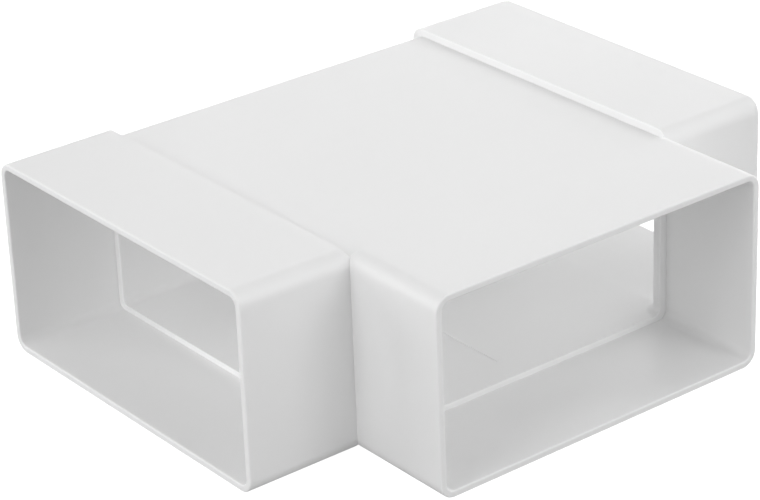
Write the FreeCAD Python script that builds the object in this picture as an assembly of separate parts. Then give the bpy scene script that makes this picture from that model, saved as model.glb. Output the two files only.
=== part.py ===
import FreeCAD, Part
import math
import os

# A one-piece tee for flat rectangular duct: three equal sockets around a slightly slimmer body.
# Millimetres. X runs along the straight run, the branch opens towards -Y and +Z is up.

# Inside of a socket: the size of the duct that slides into it
duct_width = 120.0
duct_height = 60.0

# Shell and sockets
wall = 2.2
socket_corner_radius = 5.0
socket_depth = 37.5
stop_setback = 1.0
mouth_edge_radius = 0.5

# The body between the sockets is set in from their outer faces, with a steep bevel at each step.
# The bevels start a little inside the line of the two front corners.
body_inset_top = 1.9
body_inset_back = 2.5
body_corner_radius = 4.5
step_run = 1.1
step_setback = 1.3

# Rounding of the two inner corners where the branch leaves the run
throat_radius = 4.5

# Fine raised line left on the inside of the body where the two cores of the run meet
witness_width = 0.8
witness_height = 0.15
witness_front_gap = 5.0

# Sizes that follow from the ones above
half_width = duct_width / 2 + wall
outer_height = duct_height + 2 * wall
step_plane = half_width - step_setback
stop_plane = half_width + stop_setback
mouth_plane = stop_plane + socket_depth
body_back = half_width - body_inset_back
bore_half_width = body_back - wall
bore_bottom = body_inset_top + wall
bore_top = outer_height - bore_bottom
bore_corner_radius = body_corner_radius - wall
overrun = 5.0


def edges_along(shape, direction):
    found = []
    for edge in shape.Edges:
        tangent = edge.tangentAt(edge.FirstParameter)
        if abs(tangent.dot(direction)) > 0.999:
            found.append(edge)
    return found


def rounded_channel(start, end, half, bottom, top, radius):
    """A bar along X with a rounded rectangular section."""
    corner = FreeCAD.Vector(start, -half, bottom)
    bar = Part.makeBox(end - start, 2 * half, top - bottom, corner)
    return bar.makeFillet(radius, edges_along(bar, FreeCAD.Vector(1, 0, 0)))


def towards_branch(shape):
    """A shape made at the right end, turned to the branch end."""
    turned = shape.copy()
    turned.rotate(FreeCAD.Vector(0, 0, 0), FreeCAD.Vector(0, 0, 1), 270)
    return turned


def around_the_tee(shape):
    """The same shape at the right, left and branch ends."""
    left = shape.mirror(FreeCAD.Vector(0, 0, 0), FreeCAD.Vector(1, 0, 0))
    return [shape, left, towards_branch(shape)]


def step_section(at, back, inset, radius):
    """Outline across the run, rounded at the two back corners and open-ended at the front."""
    front = -(mouth_plane + overrun)
    low = inset
    high = outer_height - inset
    slant = radius * math.sqrt(0.5)
    low_middle = FreeCAD.Vector(at, back - radius + slant, low + radius - slant)
    high_middle = FreeCAD.Vector(at, back - radius + slant, high - radius + slant)
    a = FreeCAD.Vector(at, front, low)
    b = FreeCAD.Vector(at, back - radius, low)
    c = FreeCAD.Vector(at, back, low + radius)
    d = FreeCAD.Vector(at, back, high - radius)
    e = FreeCAD.Vector(at, back - radius, high)
    f = FreeCAD.Vector(at, front, high)
    edges = [
        Part.makeLine(a, b),
        Part.Arc(b, low_middle, c).toShape(),
        Part.makeLine(c, d),
        Part.Arc(d, high_middle, e).toShape(),
        Part.makeLine(e, f),
        Part.makeLine(f, a),
    ]
    return Part.Wire(edges)


def step_envelope(narrow_back, wide_back):
    """Grows from the body's section to the socket's over the bevel, then runs straight past the mouth."""
    full = step_plane + step_run
    narrow = step_section(step_plane, narrow_back, body_inset_top, body_corner_radius)
    wide = step_section(full, wide_back, 0, socket_corner_radius)
    bevel = Part.makeLoft([narrow, wide], True, True)
    straight = Part.Face(wide).extrude(FreeCAD.Vector(mouth_plane + overrun - full, 0, 0))
    return bevel.fuse(straight)


def socket_shells():
    """Outside of the three sockets, from the foot of each bevel to the mouth."""
    bar = rounded_channel(step_plane, mouth_plane, half_width, 0, outer_height, socket_corner_radius)
    right = bar.common(step_envelope(body_back, half_width))
    left = right.mirror(FreeCAD.Vector(0, 0, 0), FreeCAD.Vector(1, 0, 0))
    past_the_side = half_width + overrun + socket_corner_radius
    branch = towards_branch(bar.common(step_envelope(past_the_side, past_the_side)))
    return [right, left, branch]


def body_block():
    """Outside of the body: lower than the sockets, set in at the back, mitred at the two front corners."""
    height = outer_height - 2 * body_inset_top
    corner = FreeCAD.Vector(-half_width, -half_width, body_inset_top)
    block = Part.makeBox(2 * half_width, half_width + body_back, height, corner)
    back_edges = []
    for edge in edges_along(block, FreeCAD.Vector(1, 0, 0)):
        if edge.CenterOfMass.y > 0:
            back_edges.append(edge)
    block = block.makeFillet(body_corner_radius, back_edges)
    run = rounded_channel(-half_width, half_width, half_width, 0, outer_height, socket_corner_radius)
    branch = rounded_channel(-half_width, half_width, half_width, 0, outer_height, socket_corner_radius)
    branch.rotate(FreeCAD.Vector(0, 0, 0), FreeCAD.Vector(0, 0, 1), 90)
    return block.common(run.fuse(branch))


def throat_corner(side):
    """The points of one rounded inner corner, from the run's front wall to the branch's side wall."""
    centre_x = side * (bore_half_width + throat_radius)
    centre_y = -(bore_half_width + throat_radius)
    slant = throat_radius * math.sqrt(0.5)
    on_run = FreeCAD.Vector(centre_x, -bore_half_width, 0)
    middle = FreeCAD.Vector(centre_x - side * slant, centre_y + slant, 0)
    on_branch = FreeCAD.Vector(side * bore_half_width, centre_y, 0)
    return on_run, middle, on_branch


def bore_outline():
    """Plan of the tee-shaped passage with its two rounded throat corners."""
    far = mouth_plane + overrun
    back_left = FreeCAD.Vector(-far, bore_half_width, 0)
    back_right = FreeCAD.Vector(far, bore_half_width, 0)
    front_right = FreeCAD.Vector(far, -bore_half_width, 0)
    front_left = FreeCAD.Vector(-far, -bore_half_width, 0)
    end_right = FreeCAD.Vector(bore_half_width, -far, 0)
    end_left = FreeCAD.Vector(-bore_half_width, -far, 0)
    right = throat_corner(1)
    left = throat_corner(-1)
    edges = [
        Part.makeLine(back_left, back_right),
        Part.makeLine(back_right, front_right),
        Part.makeLine(front_right, right[0]),
        Part.Arc(right[0], right[1], right[2]).toShape(),
        Part.makeLine(right[2], end_right),
        Part.makeLine(end_right, end_left),
        Part.makeLine(end_left, left[2]),
        Part.Arc(left[2], left[1], left[0]).toShape(),
        Part.makeLine(left[0], front_left),
        Part.makeLine(front_left, back_left),
    ]
    return Part.Wire(edges)


def bore():
    """The passage itself, its long edges rounded at the floor and at the ceiling."""
    face = Part.Face(bore_outline())
    face.translate(FreeCAD.Vector(0, 0, bore_bottom))
    passage = face.extrude(FreeCAD.Vector(0, 0, bore_top - bore_bottom))
    reach = mouth_plane + overrun / 2
    rounded = []
    for edge in passage.Edges:
        middle = edge.CenterOfMass
        is_level = edge.BoundBox.ZLength < 0.01
        is_end = abs(middle.x) > reach or middle.y < -reach
        if is_level and not is_end:
            rounded.append(edge)
    return passage.makeFillet(bore_corner_radius, rounded)


def socket_recesses():
    """Inside of the three sockets, from the stop shoulders out past the mouths."""
    inner_radius = socket_corner_radius - wall
    bar = rounded_channel(stop_plane, mouth_plane + overrun, duct_width / 2, wall, outer_height - wall, inner_radius)
    return around_the_tee(bar)


def witness_line(passage):
    """A narrow band round the floor, back wall and ceiling of the body on its centre plane."""
    depth = bore_half_width * 2 - witness_front_gap
    corner = FreeCAD.Vector(-witness_width / 2, bore_half_width - depth, bore_bottom)
    slab = Part.makeBox(witness_width, depth, bore_top - bore_bottom, corner)
    section = slab.common(passage)
    core_depth = depth + overrun - witness_height
    core_front = bore_half_width - witness_height - core_depth
    core_corner = FreeCAD.Vector(-witness_width, core_front, bore_bottom + witness_height)
    core_height = bore_top - bore_bottom - 2 * witness_height
    core = Part.makeBox(2 * witness_width, core_depth, core_height, core_corner)
    inner_radius = bore_corner_radius - witness_height
    back_edges = []
    for edge in edges_along(core, FreeCAD.Vector(1, 0, 0)):
        if edge.CenterOfMass.y > 0:
            back_edges.append(edge)
    core = core.makeFillet(inner_radius, back_edges)
    return section.cut(core)


def soften_mouths(shape):
    """Round the inner and outer edges of the three mouth rims."""
    rims = []
    for edge in shape.Edges:
        box = edge.BoundBox
        on_run = box.XLength < 0.01 and abs(abs(box.XMin) - mouth_plane) < 0.01
        on_branch = box.YLength < 0.01 and abs(box.YMin + mouth_plane) < 0.01
        if on_run or on_branch:
            rims.append(edge)
    return shape.makeFillet(mouth_edge_radius, rims)


def tee():
    shell = body_block()
    for socket in socket_shells():
        shell = shell.fuse(socket)
    shell = shell.removeSplitter()
    passage = bore()
    shell = shell.cut(passage)
    for recess in socket_recesses():
        shell = shell.cut(recess)
    shell = soften_mouths(shell)
    return shell.fuse(witness_line(passage)).removeSplitter()


# The origin moves to the middle of the plan, at the underside
shape = tee()
centre_shift = (mouth_plane - half_width) / 2
shape.translate(FreeCAD.Vector(0, centre_shift, 0))
shape = shape.Solids[0]

os.makedirs("parts", exist_ok=True)
shape.exportStep("parts/tee.step")
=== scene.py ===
import bpy
import math
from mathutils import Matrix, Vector

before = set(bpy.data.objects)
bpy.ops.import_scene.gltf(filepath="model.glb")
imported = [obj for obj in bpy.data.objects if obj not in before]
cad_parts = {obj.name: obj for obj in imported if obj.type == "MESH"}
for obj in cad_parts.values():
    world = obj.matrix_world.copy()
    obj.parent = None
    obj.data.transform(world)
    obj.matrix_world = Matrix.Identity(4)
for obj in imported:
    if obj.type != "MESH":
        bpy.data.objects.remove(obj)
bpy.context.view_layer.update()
scene = bpy.context.scene

# Lengths are in metres and angles in degrees

WHITE = (1.0, 1.0, 1.0, 1.0)

# Moulded plastic: light enters it a little way, equally deep in every colour
PLASTIC_IOR = 1.5
SCATTER_DEPTH = 0.0005
DARKER_TONE = 0.940
LIGHTER_TONE = 0.955
GLOSSIER = 0.40
DULLER = 0.48

# Most of a noise texture's values lie between these
NOISE_LOW = 0.3
NOISE_HIGH = 0.7

# Noise scales are in cells per metre. The streaks run along the straight run.
CLOUD_SCALE = 14.0
CLOUD_DETAIL = 3.0
STREAK_SCALES = (20.0, 160.0, 160.0)
STREAK_DETAIL = 2.0
STREAK_SHARE = 0.35
GRAIN_SCALE = 2600.0
GRAIN_DETAIL = 2.0
GRAIN_HARSHNESS = 0.6
GRAIN_STRENGTH = 0.12
GRAIN_HEIGHT = 0.00002
WAVER_SCALE = 45.0
WAVER_DETAIL = 1.0
WAVER_STRENGTH = 0.25
WAVER_HEIGHT = 0.00005

FLOOR_TONE = 0.9
FLOOR_ROUGHNESS = 0.9
FLOOR_SPECULAR = 0.1
FLOOR_REACH = 6.0
FLOOR_DROP = 0.0002

# Light levels of the floor, of the sky that lights the part and of the sky that the camera sees
FLOOR_GLOW = 0.75
SKY = 0.32
BACKDROP = 1.0

# Lamps: name, angle round the part from the branch, angle above the floor, watts
LAMPS = [
    ("front_low", 10, 12, 6.3),
    ("front_high", 30, 35, 4.5),
    ("right_low", 90, 12, 9.6),
    ("right_high", 90, 35, 2.2),
    ("back_right", 135, 12, 5.2),
    ("back", 180, 16, 3.5),
    ("back_left", -135, 12, 7.4),
    ("left_low", -80, 12, 4.9),
    ("left_high", -90, 35, 5.8),
]
LAMP_DISTANCE = 1.6
LAMP_SIDE = 1.0
LAMP_TARGET = Vector((0.0, 0.0, 0.03))

# Camera fitted to the outlines of the part in the photograph. Lens and sensor are in millimetres.
CAMERA_PLACE = (-0.5088, -0.63915, 0.4246)
CAMERA_ANGLES = (64.229, 2.047, -38.502)
CAMERA_LENS = 138.95
CAMERA_SENSOR = 36.0
CAMERA_NEAR = 0.05
CAMERA_FAR = 50.0


def grey(level):
    return (level, level, level, 1.0)


def add_node(tree, kind, place, **values):
    node = tree.nodes.new(kind)
    node.location = place
    for name, value in values.items():
        node.inputs[name].default_value = value
    return node


def noise(tree, source, place, scale, detail, roughness=0.5):
    node = add_node(tree, "ShaderNodeTexNoise", place,
                    Scale=scale, Detail=detail, Roughness=roughness)
    tree.links.new(source, node.inputs["Vector"])
    return node.outputs["Fac"]


def spread(tree, source, place, low, high, from_low=NOISE_LOW, from_high=NOISE_HIGH):
    """Maps a value's range onto another."""
    node = add_node(tree, "ShaderNodeMapRange", place)
    node.inputs["From Min"].default_value = from_low
    node.inputs["From Max"].default_value = from_high
    node.inputs["To Min"].default_value = low
    node.inputs["To Max"].default_value = high
    tree.links.new(source, node.inputs["Value"])
    return node.outputs["Result"]


def moulded_plastic():
    """White moulded PVC: fine mould grain, faint flow streaks and slow changes of tone and gloss."""
    material = bpy.data.materials.new("white_moulded_plastic")
    material.use_nodes = True
    tree = material.node_tree
    tree.nodes.clear()
    output = add_node(tree, "ShaderNodeOutputMaterial", (900, 0))
    shader = add_node(tree, "ShaderNodeBsdfPrincipled", (600, 0), IOR=PLASTIC_IOR)
    shader.inputs["Subsurface Weight"].default_value = 1.0
    shader.inputs["Subsurface Radius"].default_value = (1.0, 1.0, 1.0)
    shader.inputs["Subsurface Scale"].default_value = SCATTER_DEPTH
    tree.links.new(shader.outputs["BSDF"], output.inputs["Surface"])
    place = add_node(tree, "ShaderNodeTexCoord", (-1200, 0)).outputs["Object"]

    # Tone and gloss
    cloud = noise(tree, place, (-900, 300), CLOUD_SCALE, CLOUD_DETAIL)
    stretch = add_node(tree, "ShaderNodeMapping", (-1050, 0), Scale=STREAK_SCALES)
    tree.links.new(place, stretch.inputs["Vector"])
    streak = noise(tree, stretch.outputs["Vector"], (-850, 0), 1.0, STREAK_DETAIL)
    blend = add_node(tree, "ShaderNodeMix", (-600, 200), Factor=STREAK_SHARE)
    tree.links.new(cloud, blend.inputs["A"])
    tree.links.new(streak, blend.inputs["B"])
    tone = spread(tree, blend.outputs["Result"], (-350, 250), 0.0, 1.0)
    tint = add_node(tree, "ShaderNodeMix", (-100, 300))
    tint.data_type = "RGBA"
    tint.inputs["A"].default_value = grey(DARKER_TONE)
    tint.inputs["B"].default_value = grey(LIGHTER_TONE)
    tree.links.new(tone, tint.inputs["Factor"])
    tree.links.new(tint.outputs["Result"], shader.inputs["Base Color"])
    gloss = spread(tree, cloud, (-100, 0), GLOSSIER, DULLER)
    tree.links.new(gloss, shader.inputs["Roughness"])

    # Mould grain over a slow waver
    grain = noise(tree, place, (-900, -300), GRAIN_SCALE, GRAIN_DETAIL, GRAIN_HARSHNESS)
    waver = noise(tree, place, (-900, -550), WAVER_SCALE, WAVER_DETAIL)
    fine = add_node(tree, "ShaderNodeBump", (-100, -300),
                    Strength=GRAIN_STRENGTH, Distance=GRAIN_HEIGHT)
    slow = add_node(tree, "ShaderNodeBump", (150, -450),
                    Strength=WAVER_STRENGTH, Distance=WAVER_HEIGHT)
    tree.links.new(grain, fine.inputs["Height"])
    tree.links.new(waver, slow.inputs["Height"])
    tree.links.new(fine.outputs["Normal"], slow.inputs["Normal"])
    tree.links.new(slow.outputs["Normal"], shader.inputs["Normal"])
    return material


def pale_floor_material():
    material = bpy.data.materials.new("pale_floor")
    material.use_nodes = True
    shader = material.node_tree.nodes["Principled BSDF"]
    shader.inputs["Base Color"].default_value = grey(FLOOR_TONE)
    shader.inputs["Roughness"].default_value = FLOOR_ROUGHNESS
    shader.inputs["Specular IOR Level"].default_value = FLOOR_SPECULAR
    shader.inputs["Emission Color"].default_value = WHITE
    shader.inputs["Emission Strength"].default_value = FLOOR_GLOW
    return material


def add_floor():
    """A plain floor that shows white and is left out of the part's bounces and reflections."""
    mesh = bpy.data.meshes.new("floor")
    reach = FLOOR_REACH
    corners = [(-reach, -reach, 0), (reach, -reach, 0), (reach, reach, 0), (-reach, reach, 0)]
    mesh.from_pydata(corners, [], [(0, 1, 2, 3)])
    mesh.materials.append(pale_floor_material())
    floor = bpy.data.objects.new("floor", mesh)
    floor.location = (0, 0, -FLOOR_DROP)
    floor.visible_diffuse = False
    floor.visible_glossy = False
    scene.collection.objects.link(floor)


def add_sky():
    """Even light from all round, with a white backdrop behind the floor's edge."""
    world = bpy.data.worlds.new("studio")
    world.use_nodes = True
    scene.world = world
    tree = world.node_tree
    background = tree.nodes["Background"]
    background.inputs["Color"].default_value = WHITE
    path = add_node(tree, "ShaderNodeLightPath", (-400, 0))
    seen = path.outputs["Is Camera Ray"]
    strength = spread(tree, seen, (-200, 0), SKY, BACKDROP, 0.0, 1.0)
    tree.links.new(strength, background.inputs["Strength"])


def softbox(name, azimuth, elevation, watts):
    """A square area light that looks at the middle of the part."""
    light = bpy.data.lights.new(name, "AREA")
    light.shape = "SQUARE"
    light.size = LAMP_SIDE
    light.energy = watts
    lamp = bpy.data.objects.new(name, light)
    a = math.radians(azimuth)
    e = math.radians(elevation)
    outward = Vector((math.sin(a) * math.cos(e), -math.cos(a) * math.cos(e), math.sin(e)))
    lamp.location = LAMP_TARGET + outward * LAMP_DISTANCE
    lamp.rotation_euler = (-outward).to_track_quat("-Z", "Y").to_euler()
    scene.collection.objects.link(lamp)


def add_camera():
    data = bpy.data.cameras.new("camera")
    data.sensor_width = CAMERA_SENSOR
    data.lens = CAMERA_LENS
    data.clip_start = CAMERA_NEAR
    data.clip_end = CAMERA_FAR
    camera = bpy.data.objects.new("camera", data)
    camera.location = CAMERA_PLACE
    camera.rotation_euler = [math.radians(angle) for angle in CAMERA_ANGLES]
    scene.collection.objects.link(camera)
    scene.camera = camera


plastic = moulded_plastic()
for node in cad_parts.values():
    for slot in node.material_slots:
        slot.material = plastic

add_floor()
add_sky()
for lamp in LAMPS:
    softbox(*lamp)
add_camera()

# Plain tone curve, so that whites stay white
scene.view_settings.view_transform = "Standard"
